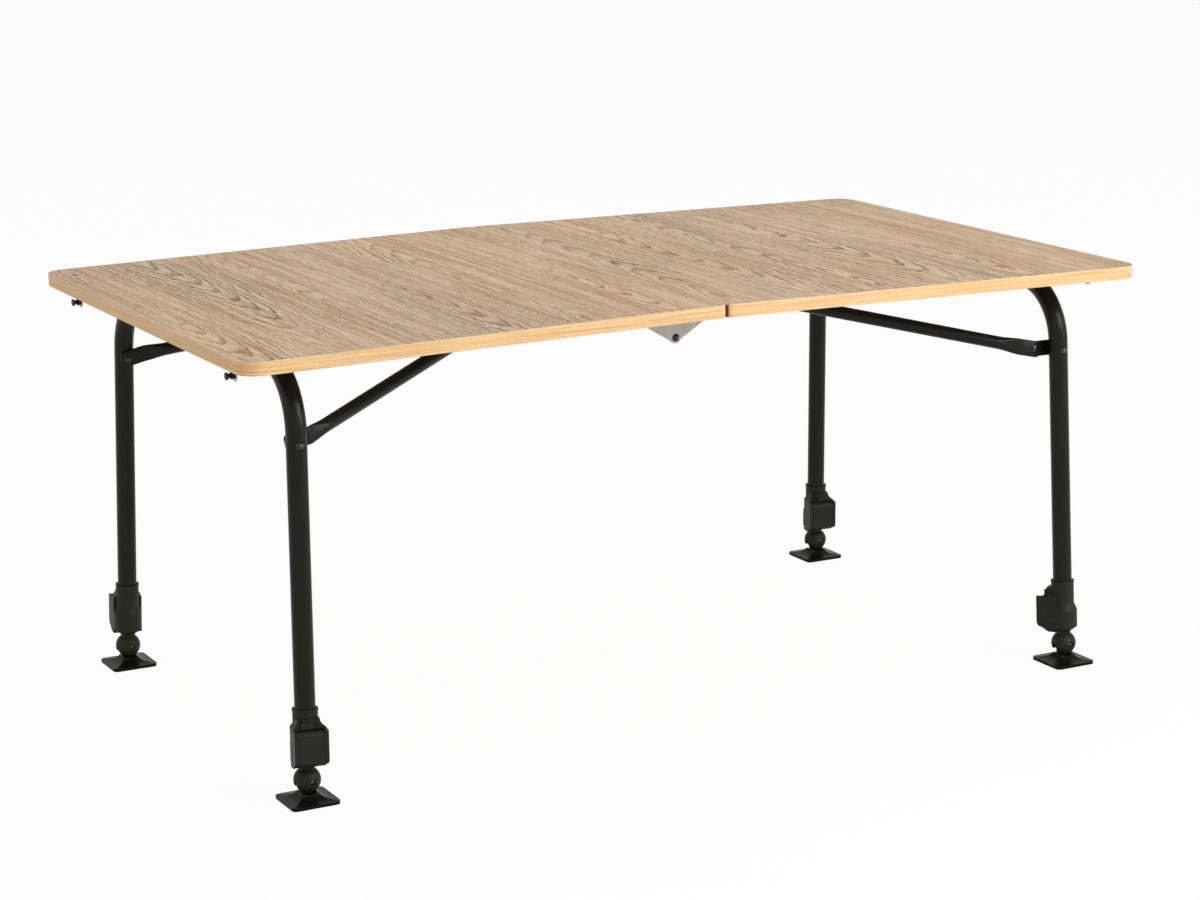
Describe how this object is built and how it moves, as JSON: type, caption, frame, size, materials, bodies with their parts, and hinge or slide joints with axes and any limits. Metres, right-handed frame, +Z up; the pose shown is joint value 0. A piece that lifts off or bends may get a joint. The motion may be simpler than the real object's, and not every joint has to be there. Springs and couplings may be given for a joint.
{
  "type": "folding camping table",
  "caption": "Folding camping table with hinged wood-look top halves and fold-under bent tube leg frames on telescopic feet with tilting pads.",
  "frame": {"origin": "centre of the table's footprint at floor level", "axes": "+X along the length toward the right half, +Y across the width toward the rear, +Z up"},
  "size_m": [1.3998, 0.8, 0.6125],
  "materials": {
    "laminate": "matt embossed",
    "band": "matt",
    "tube": "satin powder coat",
    "moulding": "fine grain",
    "sheet": "satin",
    "zinc": "zinc plated",
    "dark_rivet": "satin",
    "clip": "satin"
  },
  "bodies": {
    "top_right": {"board_right": "laminate", "edge_band_right": "band", "board_screws_right": "zinc", "front_hinge_plate_right": "sheet", "rear_hinge_plate_right": "sheet", "hinge_rivets": "dark_rivet", "saddle_clips_right": "clip", "rod_catch_right": "clip", "closing_tabs": "zinc"},
    "top_left": {"board_left": "laminate", "edge_band_left": "band", "board_screws_left": "zinc", "front_hinge_plate_left": "sheet", "rear_hinge_plate_left": "sheet", "saddle_clips_left": "clip", "rod_catch_left": "clip", "closing_pegs": "clip", "peg_tabs": "zinc"},
    "legs_right": {"leg_frame_right": "tube", "leg_rivets_right": "dark_rivet", "front_right_housing": "moulding", "rear_right_housing": "moulding", "front_right_lever_pin": "zinc", "rear_right_lever_pin": "zinc"},
    "legs_left": {"leg_frame_left": "tube", "leg_rivets_left": "dark_rivet", "front_left_housing": "moulding", "rear_left_housing": "moulding", "front_left_lever_pin": "zinc", "rear_left_lever_pin": "zinc"},
    "stay_left": {"front_stay_left": "tube", "rear_stay_left": "tube", "stay_rod_left": "zinc"},
    "links_right": {"front_link_right": "tube", "rear_link_right": "tube", "link_rivets_right": "dark_rivet"},
    "stay_right": {"front_stay_right": "tube", "rear_stay_right": "tube", "stay_rod_right": "zinc"},
    "front_left_foot": {"front_left_inner_tube": "tube", "front_left_knuckle": "moulding", "front_left_foot_rivet": "dark_rivet"},
    "front_left_foot_pad": {"front_left_pad": "moulding"},
    "front_left_clamp": {"front_left_lever": "moulding"},
    "rear_left_foot": {"rear_left_inner_tube": "tube", "rear_left_knuckle": "moulding", "rear_left_foot_rivet": "dark_rivet"},
    "rear_left_foot_pad": {"rear_left_pad": "moulding"},
    "rear_left_clamp": {"rear_left_lever": "moulding"},
    "front_right_foot": {"front_right_inner_tube": "tube", "front_right_knuckle": "moulding", "front_right_foot_rivet": "dark_rivet"},
    "front_right_foot_pad": {"front_right_pad": "moulding"},
    "front_right_clamp": {"front_right_lever": "moulding"},
    "rear_right_foot": {"rear_right_inner_tube": "tube", "rear_right_knuckle": "moulding", "rear_right_foot_rivet": "dark_rivet"},
    "rear_right_foot_pad": {"rear_right_pad": "moulding"},
    "rear_right_clamp": {"rear_right_lever": "moulding"}
  },
  "joints": [
    {"name": "top_fold", "type": "hinge", "parent": "top_right", "child": "top_left", "pos_m": [0, 0, 0.543], "axis": [0, -1, 0], "range_deg": [0, 90]},
    {"name": "leg_fold_right", "type": "hinge", "parent": "top_right", "child": "legs_right", "pos_m": [0.60296, 0, 0.57263], "axis": [0, 1, 0], "range_deg": [0, 88.3]},
    {"name": "leg_fold_left", "type": "hinge", "parent": "top_left", "child": "legs_left", "pos_m": [-0.60296, 0, 0.57263], "axis": [0, -1, 0], "range_deg": [0, 88.3]},
    {"name": "stay_fold_left", "type": "hinge", "parent": "legs_left", "child": "stay_left", "pos_m": [-0.60488, 0, 0.47705], "axis": [0, -1, 0], "range_deg": [-101, 0]},
    {"name": "link_turn_right", "type": "hinge", "parent": "legs_right", "child": "links_right", "pos_m": [0.60488, 0, 0.47705], "axis": [0, 1, 0], "range_deg": [-90, 0]},
    {"name": "stay_turn_right", "type": "hinge", "parent": "links_right", "child": "stay_right", "pos_m": [0.57558, 0, 0.47741], "axis": [0, 1, 0], "range_deg": [-13, 0]},
    {"name": "front_left_foot_slide", "type": "slide", "parent": "legs_left", "child": "front_left_foot", "axis": [0.0201, 0.0419, 0.9989], "range_m": [-0.15, 0]},
    {"name": "front_left_pad_tilt", "type": "hinge", "parent": "front_left_foot", "child": "front_left_foot_pad", "pos_m": [-0.61385, -0.351, 0.03], "axis": [0, 1, 0], "range_deg": [-20, 20]},
    {"name": "front_left_clamp_lever", "type": "hinge", "parent": "legs_left", "child": "front_left_clamp", "pos_m": [-0.61606, -0.37341, 0.09605], "axis": [-0.9902, 0.1391, 0.014], "range_deg": [0, 95]},
    {"name": "rear_left_foot_slide", "type": "slide", "parent": "legs_left", "child": "rear_left_foot", "axis": [0.0201, -0.0419, 0.9989], "range_m": [-0.15, 0]},
    {"name": "rear_left_pad_tilt", "type": "hinge", "parent": "rear_left_foot", "child": "rear_left_foot_pad", "pos_m": [-0.61385, 0.351, 0.03], "axis": [0, 1, 0], "range_deg": [-20, 20]},
    {"name": "rear_left_clamp_lever", "type": "hinge", "parent": "legs_left", "child": "rear_left_clamp", "pos_m": [-0.60812, 0.37327, 0.09589], "axis": [0.9845, -0.1735, -0.027], "range_deg": [0, 95]},
    {"name": "front_right_foot_slide", "type": "slide", "parent": "legs_right", "child": "front_right_foot", "axis": [-0.0201, 0.0419, 0.9989], "range_m": [-0.15, 0]},
    {"name": "front_right_pad_tilt", "type": "hinge", "parent": "front_right_foot", "child": "front_right_foot_pad", "pos_m": [0.61385, -0.351, 0.03], "axis": [0, 1, 0], "range_deg": [-20, 20]},
    {"name": "front_right_clamp_lever", "type": "hinge", "parent": "legs_right", "child": "front_right_clamp", "pos_m": [0.60264, -0.32492, 0.09375], "axis": [0.9206, 0.3904, 0.0021], "range_deg": [0, 95]},
    {"name": "rear_right_foot_slide", "type": "slide", "parent": "legs_right", "child": "rear_right_foot", "axis": [-0.0201, -0.0419, 0.9989], "range_m": [-0.15, 0]},
    {"name": "rear_right_pad_tilt", "type": "hinge", "parent": "rear_right_foot", "child": "rear_right_foot_pad", "pos_m": [0.61385, 0.351, 0.03], "axis": [0, 1, 0], "range_deg": [-20, 20]},
    {"name": "rear_right_clamp_lever", "type": "hinge", "parent": "legs_right", "child": "rear_right_clamp", "pos_m": [0.6086, 0.32321, 0.0938], "axis": [-0.9876, 0.1563, -0.0133], "range_deg": [0, 95]}
  ],
  "couplings": [
    {"joint": "stay_fold_left", "follows": "leg_fold_left", "ratio": -1.129},
    {"joint": "link_turn_right", "follows": "leg_fold_right", "ratio": -1},
    {"joint": "stay_turn_right", "follows": "leg_fold_right", "ratio": -0.13}
  ]
}
